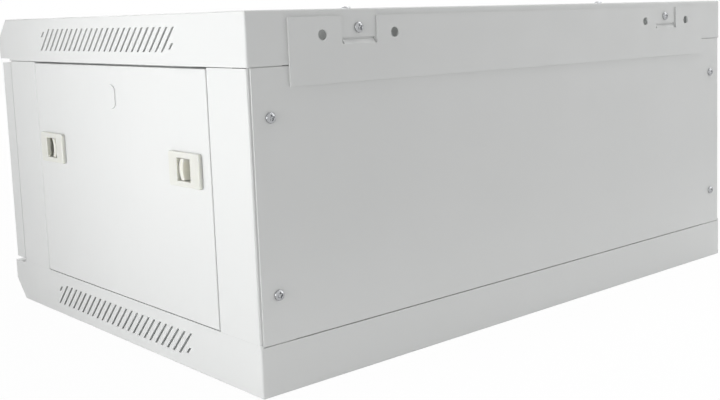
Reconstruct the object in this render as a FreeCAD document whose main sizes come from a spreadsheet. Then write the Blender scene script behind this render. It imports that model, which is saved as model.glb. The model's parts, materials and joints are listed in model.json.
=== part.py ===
import FreeCAD
import Part
import Sketcher
import math
import os

# Rack cabinet, 4 units high, to hang on a wall. Front is -Y, rear +Y, +Z up, millimetres.
# Every size is written once below and goes to the sheet; all features are bound to its cells.
SIZES = {
    # outside of the cabinet
    "width": 600.0,
    "depth": 445.0,
    "height": 280.0,
    "skin": 1.2,             # sheet of the trays, posts and door
    "bend": 1.6,             # outside radius of the folds
    "cut_over": 1.0,         # how far a cutting profile runs past the sheet
    # roof and base trays
    "tray_side": 40.0,       # height of the side flanges
    "roof_rear": 39.6,       # height of the roof's rear flange
    "base_rear": 38.0,       # height of the base's rear flange
    "fascia_height": 38.0,
    "chamfer": 19.0,         # bevel between fascia and top
    "mitre": 0.41421356,     # tangent of half the bevel angle
    "front_lip": 24.0,
    "side_lip": 12.0,
    "rear_lip": 12.0,
    "lip_relief": 2.0,       # end gap of the lips
    "corner_inset": 2.7,     # edge of the back panel to the side face
    # slanted vents in the side flanges
    "vent_pitch": 9.8,
    "vent_count": 24,
    "vent_mid": 1.0,
    "vent_reach": 9.75,      # from the middle of a slot to its end, along Y and along Z
    "vent_half": 1.6,        # half width of a slot along Y
    "vent_short_low": 2.6,   # ends of the short slot in each corner
    "vent_short_high": 7.4,
    # cable entry in roof and base
    "entry_width": 300.0,
    "entry_depth": 60.0,
    "entry_inset": 59.0,     # middle of the entry to the rear face
    "cover_margin": 24.0,
    "cover_screw_out": 15.0,  # screws of the cover to the end of the entry
    # vent field over the fan places of the roof
    "fan_x": 95.0,
    "fan_y": -50.0,
    "fan_slot": 44.5,        # half length of a slot
    "fan_slot_half": 2.5,    # half width of a slot
    "fan_pitch": 12.0,
    "fan_rows": 8,
    # corner posts
    "front_post": 57.0,
    "rear_post": 55.2,
    "jamb": 22.0,
    "front_return": 32.0,
    "rear_return": 30.2,
    "seam": 0.5,             # gap between the posts and the roof flange
    # door
    "door_setback": 2.0,
    "door_depth": 21.0,
    "door_gap": 2.2,         # between the door and the posts
    "door_side_gap": 1.0,
    "door_end_gap": 4.0,     # between the door and the fascias
    "door_bend": 2.4,
    "door_return": 14.0,
    "door_stile": 71.0,
    "door_rail": 30.0,
    "window_r": 6.0,
    "pane": 4.0,
    "seal": 2.0,
    "seal_inset": 1.0,
    "pane_lap": 12.0,
    "clip_width": 16.0,
    "clip_x": 150.0,
    "clip_foot": 6.0,
    "clip_arm": 7.0,
    # hinge
    "hinge_inset": 6.0,      # pin axis to the side of the door
    "hinge_back": 12.0,      # pin axis to the back of the door
    "pin_r": 3.0,
    "fit": 0.06,             # radial play of a running fit
    "slip": 0.1,             # play between sliding flat faces
    "pin_root": 7.0,         # length of the lower pin below the base lip
    "pin_up": 8.0,           # length of the lower pin above the washer
    "washer_r": 6.0,
    "sleeve_r": 4.5,
    "sleeve_length": 21.0,
    "pin_tip": 4.0,          # upper pin above the face of the roof lip
    "pin_tail": 12.0,        # upper pin below its sleeve
    "handle_r": 2.2,
    "handle_length": 18.0,
    # lock
    "lock_inset": 43.0,      # axis of the lock to the side of the door
    "lock_flange_r": 11.0,
    "lock_flange": 2.5,
    "barrel_r": 8.0,
    "barrel_back": 5.0,      # barrel behind the back of the door
    "lock_nut_r": 12.0,
    "lock_nut": 5.0,
    "plug_r": 5.4,
    "plug_front": 0.5,
    "plug_back": 2.4,
    "key_width": 1.6,
    "key_height": 6.4,
    "key_depth": 3.0,
    "cam_gap": 0.2,
    "cam": 2.0,
    "cam_r": 8.0,
    "cam_reach": 27.0,
    "cam_screw_r": 4.0,
    "cam_screw": 2.4,
    # side panels
    "panel_skin": 1.0,
    "panel_return": 13.0,
    "panel_gap": 1.0,
    "panel_top_gap": 1.6,
    "panel_seat": 0.5,
    "knockout_r": 10.4,
    "knockout_drop": 25.9,   # middle of the knock-out below the top of the panel
    "knockout_rise": 1.1,
    # side panel latches
    "latch_from_mid": 119.5,
    "latch_drop": 77.4,      # middle of the latches below the top of the panel
    "bezel_y": 22.5,         # half sizes of the bezel
    "bezel_z": 13.5,
    "bezel": 3.6,
    "bezel_corner": 1.4,
    "bezel_bevel": 0.6,
    "case_y": 19.0,          # half sizes of the case
    "case_z": 11.0,
    "case_deep": 12.5,
    "case_wall": 1.5,
    "case_play": 0.2,
    "pocket_y": 10.0,
    "pocket_z": 9.0,
    "slide_play": 0.3,
    "slide_floor": 2.0,
    "slide_y": 12.0,
    "slide_z": 8.4,
    "tab_near": 7.4,         # convex face of the finger tab, from the middle of the case
    "tab_thick": 4.7,
    "tab_curve": 15.0,
    "tab_sink": 0.8,
    "bolt_z": 6.0,
    "bolt_x": 4.5,
    "bolt_short": 0.3,       # bolt tip behind the face of the panel return
    "strike_play": 3.0,      # play of the bolt in the notch of the post, towards the side
    "strike_gap": 3.0,       # the same, up and down
    # back panel and its screws
    "back_return": 12.0,
    "back_gap": 0.7,
    "back_screw_in": 17.5,   # screws to the side, to the base and to the roof
    "back_screw_up": 34.5,
    "back_screw_down": 36.3,
    "screw_r": 2.4,
    "screw_hole": 2.5,
    "screw_head_r": 4.9,
    "screw_head": 2.4,
    "screw_bevel": 1.2,
    "screw_long": 9.0,
    # wall rail
    "rail_end": 35.2,        # end of the rail to the side
    "rail_drop": 5.5,
    "rail_height": 49.8,
    "rail_thick": 1.5,
    "hook_in": 100.5,        # middle of a hook to the side
    "hook_width": 30.0,
    "notch_width": 34.5,
    "notch_drop": 26.5,
    "hook_ramp": 4.0,
    "hook_top_drop": 9.0,
    "hook_screw_drop": 14.4,
    "slot_width": 31.5,
    "slot_top_drop": 21.5,
    "slot_height": 16.0,
    "wall_hole_r": 4.0,
    "wall_hole_x": 35.0,
    "wall_hole_drop": 19.0,
    "wall_clear_r": 5.5,
    # rack rails
    "unit": 44.45,
    "units": 4,
    "rack_hole_in": 19.45,   # hole centres to the outside of the rail
    "rack_flange": 26.5,
    "square": 9.5,
    "hole_first": 6.35,
    "hole_step": 15.875,
    "rack_inset": 48.0,      # outside of the rail to the side of the cabinet
    "rack_thick": 2.0,
    "rack_depth": 45.0,
    "rack_set": 47.3,        # face of the rack rails behind the posts
    "rack_end": 5.0,
    # depth bars
    "bar_thick": 1.5,
    "bar_height": 24.0,
    "bar_tab": 40.0,
    "bar_flange": 11.0,
    "rack_forward": 10.0,    # travel of the rack rails
    "rack_backward": 200.0,
    "clamp_r": 3.0,          # clamping bolts of the rack rails
    "clamp_back": 23.0,
    "clamp_head_r": 5.0,
    "clamp_head": 3.0,
    "clamp_nut_r": 5.5,
    "clamp_nut": 5.0,
    "clamp_end": 2.0,
    "slot_play": 0.4,
    # earth stud
    "earth_side": 60.0,
    "earth_rear": 35.0,
    "earth_r": 3.0,
    "earth_height": 20.0,
    "earth_nut_r": 5.6,
    "earth_nut": 5.0,
    "earth_washer_r": 7.0,
    "earth_washer": 1.6,
}

DOC = FreeCAD.newDocument("rack_cabinet")
SHEET = DOC.addObject("Spreadsheet::Sheet", "Sizes")
for row, name in enumerate(SIZES, 1):
    SHEET.set(f"A{row}", name)
    SHEET.set(f"B{row}", str(SIZES[name]))
    SHEET.setAlias(f"B{row}", name)
DOC.recompute()


class Size:
    """A number together with the sheet expression that gives it."""

    def __init__(self, value, text):
        self.value = value
        self.text = text

    def __add__(self, other):
        other = as_size(other)
        return Size(self.value + other.value, f"({self.text} + {other.text})")

    def __sub__(self, other):
        other = as_size(other)
        return Size(self.value - other.value, f"({self.text} - {other.text})")

    def __mul__(self, other):
        other = as_size(other)
        return Size(self.value * other.value, f"({self.text} * {other.text})")

    def __truediv__(self, other):
        other = as_size(other)
        return Size(self.value / other.value, f"({self.text} / {other.text})")

    def __neg__(self):
        return Size(-self.value, f"(0 - {self.text})")

    def __radd__(self, other):
        return as_size(other) + self

    def __rsub__(self, other):
        return as_size(other) - self

    def __rmul__(self, other):
        return as_size(other) * self


def as_size(thing):
    if isinstance(thing, Size):
        return thing
    return Size(float(thing), f"{float(thing):.6f}")


class Sheet:
    """Gives every cell of the sheet as an attribute."""

    def __init__(self):
        for name in SIZES:
            setattr(self, name, Size(float(SHEET.get(name)), f"Sizes.{name}"))


s = Sheet()


def bind(thing, field, size):
    """Binds a field of an object to the sheet."""
    thing.setExpression(field, as_size(size).text)


# places that several pieces share
side = s.width / 2
rear = s.depth / 2
fascia = -rear
lip_back = fascia + s.front_lip
door_front = fascia + s.door_setback
door_back = door_front + s.door_depth
door_side = side - s.door_side_gap
door_low = s.fascia_height + s.door_end_gap
door_high = s.height - s.fascia_height - s.door_end_gap
post_front = door_back + s.door_gap
opening_front = post_front + s.front_post
opening_rear = rear - s.rear_post
post_low = s.tray_side
post_high = s.height - s.tray_side - s.seam
post_rear = rear - s.skin
hinge_x = -(door_side - s.hinge_inset)
hinge_y = door_back - s.hinge_back
pin_bore = s.pin_r + s.fit
panel_front = opening_front + s.panel_gap
panel_rear = opening_rear - s.panel_gap
panel_mid = (panel_front + panel_rear) / 2
panel_low = s.tray_side + s.panel_seat
panel_high = s.height - s.tray_side - s.panel_top_gap
latch_z = panel_high - s.latch_drop
knockout_z = panel_high - s.knockout_drop
latch_y = panel_mid + s.latch_from_mid
case_back = side - s.case_deep
slide_back = case_back + s.case_wall + s.slide_play
bolt_back = slide_back + s.slide_play
lock_x = door_side - s.lock_inset
lock_z = s.height / 2
glass_front = door_front + s.skin + s.seal
glass_back = glass_front + s.pane
window_x = door_side - s.door_stile
window_low = door_low + s.door_rail
window_high = door_high - s.door_rail
barrel_end = door_back + s.barrel_back
cam_front = barrel_end + s.cam_gap
rack_face = post_front + s.rack_set
rack_low = s.tray_side + s.rack_end
rack_high = s.height - s.tray_side - s.rack_end
rack_side = side - s.rack_inset
rack_inner = rack_side - s.rack_flange
rack_hole_x = rack_side - s.rack_hole_in
bar_inner = rack_side + s.slip
bar_front = post_front + s.skin
bar_rear = post_rear - s.skin
clamp_y = rack_face + s.clamp_back
bar_levels = (rack_low + s.bar_height / 2, rack_high - s.bar_height / 2)
entry_y = rear - s.entry_inset
cover_screws = (s.entry_width / 2 + s.cover_screw_out, -s.entry_width / 2 - s.cover_screw_out)
back_screw_x = side - s.back_screw_in
back_screw_levels = (s.tray_side + s.back_screw_up, s.height - s.tray_side - s.back_screw_down)
hook_x = side - s.hook_in
earth_x = s.earth_side - side
earth_y = rear - s.earth_rear


class Piece:
    """A body built from profiles that are extruded along one axis, from low to high."""

    planes = {"X": "YZ_Plane", "Y": "XZ_Plane", "Z": "XY_Plane"}

    def __init__(self, label):
        self.body = DOC.addObject("PartDesign::Body", label)
        self.body.Label = label
        self.origin = {item.Role: item for item in self.body.Origin.OriginFeatures}

    def sketch(self, axis, low, high):
        drawing = self.body.newObject("Sketcher::SketchObject", "Profile")
        drawing.AttachmentSupport = [(self.origin[self.planes[axis]], "")]
        drawing.MapMode = "FlatFace"
        # the XZ plane looks along -Y, so its profiles start at the far end
        bind(drawing, "AttachmentOffset.Base.z", -as_size(high) if axis == "Y" else low)
        return drawing

    def extrude(self, kind, axis, low, high, draw):
        drawing = self.sketch(axis, low, high)
        draw(drawing)
        feature = self.body.newObject(f"PartDesign::{kind}", kind)
        feature.Profile = drawing
        feature.Reversed = kind == "Pocket"
        bind(feature, "Length", as_size(high) - low)
        self.body.Tip = feature
        return feature

    def pad(self, axis, low, high, draw):
        return self.extrude("Pad", axis, low, high, draw)

    def pocket(self, axis, low, high, draw):
        """Cuts, and makes sure that material went away."""
        DOC.recompute()
        before = self.body.Shape.Volume
        feature = self.extrude("Pocket", axis, low, high, draw)
        DOC.recompute()
        if self.body.Shape.Volume > before - 1e-6:
            raise RuntimeError(f"a cut of {self.body.Label} removes nothing")
        return feature

    def repeat(self, feature, axis, pitch, count):
        pattern = self.body.newObject("PartDesign::LinearPattern", "Row")
        pattern.Originals = [feature]
        pattern.Direction = (self.origin[f"{axis}_Axis"], [""])
        bind(pattern, "Length", pitch * (count - 1))
        bind(pattern, "Occurrences", count)
        self.body.Tip = pattern
        return pattern

    def ease(self, kind, field, size, wanted):
        """Eases the edges of the tip that the test accepts."""
        DOC.recompute()
        tip = self.body.Tip
        names = [f"Edge{i}" for i, edge in enumerate(tip.Shape.Edges, 1) if wanted(edge)]
        feature = self.body.newObject(f"PartDesign::{kind}", kind)
        feature.Base = (tip, names)
        bind(feature, field, size)
        self.body.Tip = feature
        return feature

    def round(self, size, wanted):
        return self.ease("Fillet", "Radius", size, wanted)

    def bevel(self, size, wanted):
        return self.ease("Chamfer", "Size", size, wanted)


def place(drawing, geometry, point, x, y):
    """Ties one point of a sketch to its two coordinates."""
    for kind, size in (("DistanceX", as_size(x)), ("DistanceY", as_size(y))):
        row = drawing.addConstraint(Sketcher.Constraint(kind, -1, 1, geometry, point, size.value))
        drawing.setExpression(f"Constraints[{row}]", size.text)


def radius(drawing, geometry, size):
    row = drawing.addConstraint(Sketcher.Constraint("Radius", geometry, size.value))
    drawing.setExpression(f"Constraints[{row}]", size.text)


def spot(x, y):
    return FreeCAD.Vector(as_size(x).value, as_size(y).value, 0)


def polygon(*points):
    def draw(drawing):
        first = len(drawing.Geometry)
        count = len(points)
        for i, start in enumerate(points):
            drawing.addGeometry(Part.LineSegment(spot(*start), spot(*points[(i + 1) % count])))
        for i, start in enumerate(points):
            after = first + (i + 1) % count
            drawing.addConstraint(Sketcher.Constraint("Coincident", first + i, 2, after, 1))
            place(drawing, first + i, 1, *start)
    return draw


def rectangle(x0, x1, y0, y1):
    return polygon((x0, y0), (x1, y0), (x1, y1), (x0, y1))


def circle(x, y, size):
    def draw(drawing):
        row = drawing.addGeometry(Part.Circle(spot(x, y), FreeCAD.Vector(0, 0, 1), size.value))
        place(drawing, row, 3, x, y)
        radius(drawing, row, size)
    return draw


def arc(centre, size, start, end):
    """A counter-clockwise arc from start to end."""
    ring = Part.Circle(spot(*centre), FreeCAD.Vector(0, 0, 1), size.value)
    return Part.ArcOfCircle(ring, ring.parameter(spot(*start)), ring.parameter(spot(*end)))


def slot(ax, ay, bx, by, size):
    """A slot with round ends at a and b."""
    def draw(drawing):
        a = spot(ax, ay)
        b = spot(bx, by)
        along = (b - a).normalize() * size.value
        across = FreeCAD.Vector(-along.y, along.x, 0)
        first = len(drawing.Geometry)
        ends = [(a, a + across, a - across), (b, b - across, b + across)]
        for centre, start, stop in ends:
            drawing.addGeometry(arc((centre.x, centre.y), size, (start.x, start.y), (stop.x, stop.y)))
        drawing.addGeometry(Part.LineSegment(a - across, b - across))
        drawing.addGeometry(Part.LineSegment(b + across, a + across))
        joints = [(first + 2, 1, first, 2), (first + 2, 2, first + 1, 1)]
        joints += [(first + 3, 1, first + 1, 2), (first + 3, 2, first, 1)]
        for joint in joints:
            drawing.addConstraint(Sketcher.Constraint("Tangent", *joint))
        place(drawing, first, 3, ax, ay)
        place(drawing, first + 1, 3, bx, by)
        radius(drawing, first, size)
        drawing.addConstraint(Sketcher.Constraint("Equal", first, first + 1))
    return draw


def both(*draws):
    def draw(drawing):
        for each in draws:
            each(drawing)
    return draw


def regular(x, y, size, sides):
    """A regular outline with its corners at the given radius."""
    turns = [2 * math.pi * i / sides for i in range(sides)]
    return polygon(*[(x + size * math.cos(turn), y + size * math.sin(turn)) for turn in turns])


def hexagon(x, y, size):
    return regular(x, y, size, 6)


def ring(x, y, size):
    """A small round outline of a fastener or its hole, as twelve sides."""
    return regular(x, y, size, 12)


def flatted(x, y, size):
    """A round outline with a flat at either side, as a key lock needs it."""
    turns = [math.radians(start + 20 * i) for start in (40, 220) for i in range(6)]
    return polygon(*[(x + size * math.cos(turn), y + size * math.sin(turn)) for turn in turns])


def slanted(y0, z0, y1, z1, half):
    """A slanted slot with level ends, drawn from its two end points."""
    return polygon((y0 - half, z0), (y0 + half, z0), (y1 + half, z1), (y1 - half, z1))


NODES = []


def keep(thing):
    NODES.append(thing)
    return thing


def mirror(label, source, normal, at=0.0):
    """A mirrored copy of a piece as a node of its own."""
    copy = DOC.addObject("Part::Mirroring", label)
    copy.Label = label
    copy.Source = source
    copy.Normal = FreeCAD.Vector(*normal)
    bind(copy, "Base.y", at)
    return keep(copy)


def group(label, source, places, turn):
    """Copies of one fastener as the separate solids of one node."""
    links = []
    for x, y, z in places:
        link = DOC.addObject("App::Link", f"{label}_item")
        link.LinkedObject = source
        link.Placement = FreeCAD.Placement(FreeCAD.Vector(0, 0, 0), turn)
        for field, size in (("x", x), ("y", y), ("z", z)):
            bind(link, f"Placement.Base.{field}", size)
        links.append(link)
    node = DOC.addObject("Part::Compound", label)
    node.Label = label
    node.Links = links
    return keep(node)


UP = FreeCAD.Rotation()
TO_REAR = FreeCAD.Rotation(FreeCAD.Vector(1, 0, 0), -90)


def both_sides(x0, x1, y0, y1):
    return both(rectangle(x0, x1, y0, y1), rectangle(-as_size(x1), -as_size(x0), y0, y1))


def tray(label, top, rear_height):
    """Roof or base: one folded sheet, its sizes counted from the outer face inwards."""
    def level(size):
        return s.height - size if top else as_size(size)

    def between(near, far):
        return (level(far), level(near)) if top else (level(near), level(far))

    piece = Piece(label)
    outline = [
        (fascia, level(s.fascia_height)),
        (fascia, level(s.chamfer)),
        (fascia + s.chamfer, level(0)),
        (rear, level(0)),
        (rear, level(s.tray_side)),
        (lip_back, level(s.tray_side)),
        (lip_back, level(s.fascia_height)),
    ]
    piece.pad("X", -side, side, polygon(*outline))

    def folded(edge):
        """The folds along both sides, and the one between the sheet and the rear flange."""
        points = [point.Point for point in edge.Vertexes]
        depth = min(abs(point.z - level(0).value) for point in points)
        across = abs(points[0].x - points[1].x) > 1e-6
        at_rear = all(abs(point.y - rear.value) < 1e-6 for point in points)
        return depth < s.fascia_height.value - 0.1 and (at_rear or not across)

    piece.round(s.bend, folded)
    hollow = [
        (fascia + s.skin, level(s.tray_side + s.cut_over)),
        (fascia + s.skin, level(s.chamfer + s.skin * s.mitre)),
        (fascia + s.chamfer + s.skin * s.mitre, level(s.skin)),
        (rear - s.skin, level(s.skin)),
        (rear - s.skin, level(s.tray_side + s.cut_over)),
    ]
    inner = side - s.skin
    piece.pocket("X", -inner, inner, polygon(*hollow))
    inset = side - s.corner_inset
    rim = between(rear_height, s.tray_side + s.cut_over)
    piece.pocket("Y", rear - s.skin * 2, rear + s.cut_over, rectangle(-inset, inset, *rim))
    # lips turned inwards along the free edges
    half = s.skin / 2
    front_edge = rectangle(-(side - half), side - half, fascia + half, lip_back)
    piece.pad("Z", *between(s.fascia_height - s.skin, s.fascia_height), front_edge)
    lip_ends = (opening_front + s.lip_relief, opening_rear - s.lip_relief)
    side_edges = both_sides(side - s.side_lip, side - half, *lip_ends)
    piece.pad("Z", *between(s.tray_side - s.skin, s.tray_side), side_edges)
    lip_x = side - s.rear_return - s.lip_relief
    rear_edge = rectangle(-lip_x, lip_x, rear - s.rear_lip, rear - half)
    piece.pad("Z", *between(rear_height - s.skin, rear_height), rear_edge)
    # slanted vents, cut through both side flanges at once
    middle = level(s.tray_side / 2)
    first = s.vent_mid - s.vent_pitch * (s.vent_count - 1) / 2
    last = first + s.vent_pitch * s.vent_count
    reach = s.vent_reach
    line = slanted(first - reach, middle - reach, first + reach, middle + reach, s.vent_half)
    across = (-side - s.cut_over, side + s.cut_over)
    vent = piece.pocket("X", *across, line)
    piece.repeat(vent, "Y", s.vent_pitch, s.vent_count)
    low = s.vent_short_low
    high = s.vent_short_high
    before = first - s.vent_pitch
    upper = slanted(before + low, middle + low, before + high, middle + high, s.vent_half)
    lower = slanted(last - high, middle - high, last - low, middle - low, s.vent_half)
    piece.pocket("X", *across, both(upper, lower))
    # bore of the hinge pin
    lip = between(s.fascia_height - s.skin * 2, s.fascia_height + s.cut_over)
    piece.pocket("Z", *lip, circle(hinge_x, hinge_y, pin_bore))
    # cable entry and the holes of its cover
    half_x = s.entry_width / 2
    half_y = s.entry_depth / 2
    entry = rectangle(-half_x, half_x, entry_y - half_y, entry_y + half_y)
    holes = [ring(x, entry_y, s.screw_hole) for x in cover_screws]
    plate = between(-s.cut_over, s.skin * 2)
    piece.pocket("Z", *plate, both(entry, *holes))
    return piece, plate


def roof():
    piece, plate = tray("roof", True, s.roof_rear)
    # slots over the two fan places
    row = s.fan_y - s.fan_pitch * (s.fan_rows - 1) / 2
    width = (row - s.fan_slot_half, row + s.fan_slot_half)
    slots = piece.pocket("Z", *plate, both_sides(s.fan_x - s.fan_slot, s.fan_x + s.fan_slot, *width))
    piece.repeat(slots, "Y", s.fan_pitch, s.fan_rows)
    # openings of the rear flange for the hooks, the hook screws and the wall screws
    slot_high = s.height - s.slot_top_drop
    half = s.slot_width / 2
    cuts = [both_sides(hook_x - half, hook_x + half, slot_high - s.slot_height, slot_high)]
    for x in (hook_x, -hook_x):
        cuts.append(ring(x, s.height - s.hook_screw_drop, s.screw_hole))
        for offset in (-s.wall_hole_x, s.wall_hole_x):
            cuts.append(ring(x + offset, s.height - s.wall_hole_drop, s.wall_clear_r))
    piece.pocket("Y", rear - s.skin * 2, rear + s.cut_over, both(*cuts))
    keep(piece.body)


def base():
    piece, plate = tray("base", False, s.base_rear)
    piece.pocket("Z", *plate, ring(earth_x, earth_y, s.earth_r + s.fit))
    keep(piece.body)


def upright(edge):
    a, b = (point.Point for point in edge.Vertexes) if len(edge.Vertexes) == 2 else (None, None)
    return a is not None and abs(a.x - b.x) + abs(a.y - b.y) < 1e-6


def outer_upright(edge):
    """A vertical fold on the side face of the cabinet."""
    return upright(edge) and abs(edge.Vertexes[0].Point.x - side.value) < 1e-6


def bolt_window(piece, low, high, play):
    """The hole that the latch bolt goes through."""
    hole = rectangle(
        bolt_back - play,
        bolt_back + s.bolt_x + play,
        latch_z - s.bolt_z - play,
        latch_z + s.bolt_z + play,
    )
    piece.pocket("Y", low, high, hole)


def strike(piece, low, high):
    """The notch of a jamb that the latch bolt slides into, open at the free edge."""
    reach = s.bolt_z + s.strike_gap
    outer = bolt_back + s.bolt_x + s.strike_play
    piece.pocket("Y", low, high, rectangle(side - s.jamb - s.cut_over, outer, latch_z - reach, latch_z + reach))


def rear_post():
    piece = Piece("rear_post_right")
    profile = [
        (side - s.jamb, opening_rear),
        (side, opening_rear),
        (side, post_rear),
        (side - s.rear_return, post_rear),
        (side - s.rear_return, post_rear - s.skin),
        (side - s.skin, post_rear - s.skin),
        (side - s.skin, opening_rear + s.skin),
        (side - s.jamb, opening_rear + s.skin),
    ]
    piece.pad("Z", post_low, post_high, polygon(*profile))
    piece.round(s.bend, outer_upright)
    # the rear return runs on behind the flanges of both trays
    tongue = rectangle(side - s.rear_return, side - s.skin, post_rear - s.skin, post_rear)
    piece.pad("Z", s.skin, s.height - s.skin, tongue)
    behind = (post_rear - s.skin - s.cut_over, post_rear + s.cut_over)
    holes = [ring(back_screw_x, z, s.screw_hole) for z in back_screw_levels]
    piece.pocket("Y", *behind, both(*holes))
    strike(piece, opening_rear - s.cut_over, opening_rear + s.skin + s.cut_over)
    keep(piece.body)
    mirror("rear_post_left", piece.body, (1, 0, 0))


def front_post():
    piece = Piece("front_post_right")
    profile = [
        (side - s.front_return, post_front),
        (side, post_front),
        (side, opening_front),
        (side - s.jamb, opening_front),
        (side - s.jamb, opening_front - s.skin),
        (side - s.skin, opening_front - s.skin),
        (side - s.skin, post_front + s.skin),
        (side - s.front_return, post_front + s.skin),
    ]
    piece.pad("Z", post_low, post_high, polygon(*profile))
    piece.round(s.bend, outer_upright)
    # the front return runs on inside both trays
    tongue = rectangle(side - s.front_return, side - s.skin, post_front, post_front + s.skin)
    piece.pad("Z", s.skin, s.height - s.skin, tongue)
    strike(piece, opening_front - s.skin - s.cut_over, opening_front + s.cut_over)
    keep(piece.body)
    mirror("front_post_left", piece.body, (1, 0, 0))


def back_panel():
    piece = Piece("back_panel")
    edge = side - s.corner_inset
    low = s.base_rear + s.back_gap
    high = s.height - s.roof_rear - s.back_gap
    piece.pad("Y", post_rear, rear, rectangle(-edge, edge, low, high))
    # stiffening returns along the top and bottom edges
    fold = side - s.rear_return - s.lip_relief * 2
    folds = both(rectangle(-fold, fold, low, low + s.skin), rectangle(-fold, fold, high - s.skin, high))
    piece.pad("Y", rear - s.back_return, rear - s.skin / 2, folds)
    holes = []
    for x in (back_screw_x, -back_screw_x):
        for z in back_screw_levels:
            holes.append(ring(x, z, s.screw_hole))
    piece.pocket("Y", post_rear - s.cut_over, rear + s.cut_over, both(*holes))
    keep(piece.body)


def wall_rail():
    piece = Piece("wall_rail")
    high = s.height - s.rail_drop
    low = high - s.rail_height
    back = rear + s.rail_thick
    floor = s.height - s.notch_drop
    half = side - s.rail_end
    piece.pad("Y", rear, back, rectangle(-half, half, low, high))
    half = s.notch_width / 2
    through = (rear - s.cut_over, back + s.cut_over)
    piece.pocket("Y", *through, both_sides(hook_x - half, hook_x + half, floor, high + s.cut_over))
    # each hook rises from the floor of its notch and stands behind the roof's rear flange
    near = rear - s.skin - s.slip
    far = near - s.rail_thick
    lean = s.rail_thick * 0.35
    hook = [
        (rear, floor - s.rail_thick),
        (back, floor - s.rail_thick),
        (back, floor),
        (near, floor + s.hook_ramp),
        (near, s.height - s.hook_top_drop),
        (far, s.height - s.hook_top_drop),
        (far, floor + s.hook_ramp - lean),
        (rear, floor - lean),
    ]
    half = s.hook_width / 2
    holes = []
    for x in (hook_x, -hook_x):
        piece.pad("X", x - half, x + half, polygon(*hook))
        holes.append(ring(x, s.height - s.hook_screw_drop, s.screw_hole))
        for offset in (-s.wall_hole_x, s.wall_hole_x):
            holes.append(circle(x + offset, s.height - s.wall_hole_drop, s.wall_hole_r))
    piece.pocket("Y", far - s.cut_over, back + s.cut_over, both(*holes))
    keep(piece.body)


def screw(label, length):
    """A pan head with its seat at z = 0 and the shank below it."""
    piece = Piece(label)
    piece.pad("Z", 0, s.screw_head, ring(as_size(0), as_size(0), s.screw_head_r))

    def rim(edge):
        return all(abs(point.Point.z - s.screw_head.value) < 1e-6 for point in edge.Vertexes)

    piece.bevel(s.screw_bevel, rim)
    piece.pad("Z", -length, 0, ring(as_size(0), as_size(0), s.screw_r))
    return piece.body


def screws():
    long = screw("screw", s.screw_long)
    spots = []
    for z in back_screw_levels:
        spots += [(back_screw_x, rear, z), (-back_screw_x, rear, z)]
    group("back_panel_screws", long, spots, TO_REAR)
    level = s.height - s.hook_screw_drop
    group("wall_rail_screws", long, [(hook_x, rear, level), (-hook_x, rear, level)], TO_REAR)
    group("roof_cover_screws", long, [(x, entry_y, s.height) for x in cover_screws], UP)
    # the base screws end inside the sheet, so that the cabinet stands flat
    short = screw("short_screw", s.skin * 2 - s.fit)
    group("base_cover_screws", short, [(x, entry_y, s.skin * 2) for x in cover_screws], UP)


def covers():
    """The plates that close the cable entries from inside."""
    half_x = s.entry_width / 2 + s.cover_margin
    half_y = s.entry_depth / 2 + s.cover_margin / 2
    places = {"roof_cable_cover": s.height - s.skin * 2, "base_cable_cover": s.skin}
    for label, low in places.items():
        piece = Piece(label)
        piece.pad("Z", low, low + s.skin, rectangle(-half_x, half_x, entry_y - half_y, entry_y + half_y))
        holes = [ring(x, entry_y, s.screw_hole) for x in cover_screws]
        piece.pocket("Z", low - s.cut_over, low + s.skin + s.cut_over, both(*holes))
        keep(piece.body)


def depth_bars():
    """Bars that carry the rack rails, their end tabs welded to the front and rear posts."""
    levels = {"lower": rack_low, "upper": rack_high - s.bar_height}
    for name, low in levels.items():
        label = f"{name}_bar"
        high = low + s.bar_height
        inner = bar_inner
        profile = [
            (inner, bar_front),
            (inner + s.bar_tab, bar_front),
            (inner + s.bar_tab, bar_front + s.bar_thick),
            (inner + s.bar_thick, bar_front + s.bar_thick),
            (inner + s.bar_thick, bar_rear - s.bar_thick),
            (inner + s.bar_tab, bar_rear - s.bar_thick),
            (inner + s.bar_tab, bar_rear),
            (inner, bar_rear),
        ]
        piece = Piece(f"{label}_right")
        piece.pad("Z", low, high, polygon(*profile))
        fold = low if name == "lower" else high - s.bar_thick
        ends = (bar_front + s.bar_thick / 2, bar_rear - s.bar_thick / 2)
        stiffener = rectangle(inner, inner + s.bar_flange, *ends)
        piece.pad("Z", fold, fold + s.bar_thick, stiffener)
        # the long slot in which the rack rail is clamped
        middle = low + s.bar_height / 2
        play = s.clamp_r + s.slot_play
        ends = (clamp_y - s.rack_forward - play, clamp_y + s.rack_backward + play)
        groove = rectangle(*ends, middle - play, middle + play)
        piece.pocket("X", inner - s.cut_over, inner + s.bar_thick + s.cut_over, groove)
        keep(piece.body)
        mirror(f"{label}_left", piece.body, (1, 0, 0))


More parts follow.
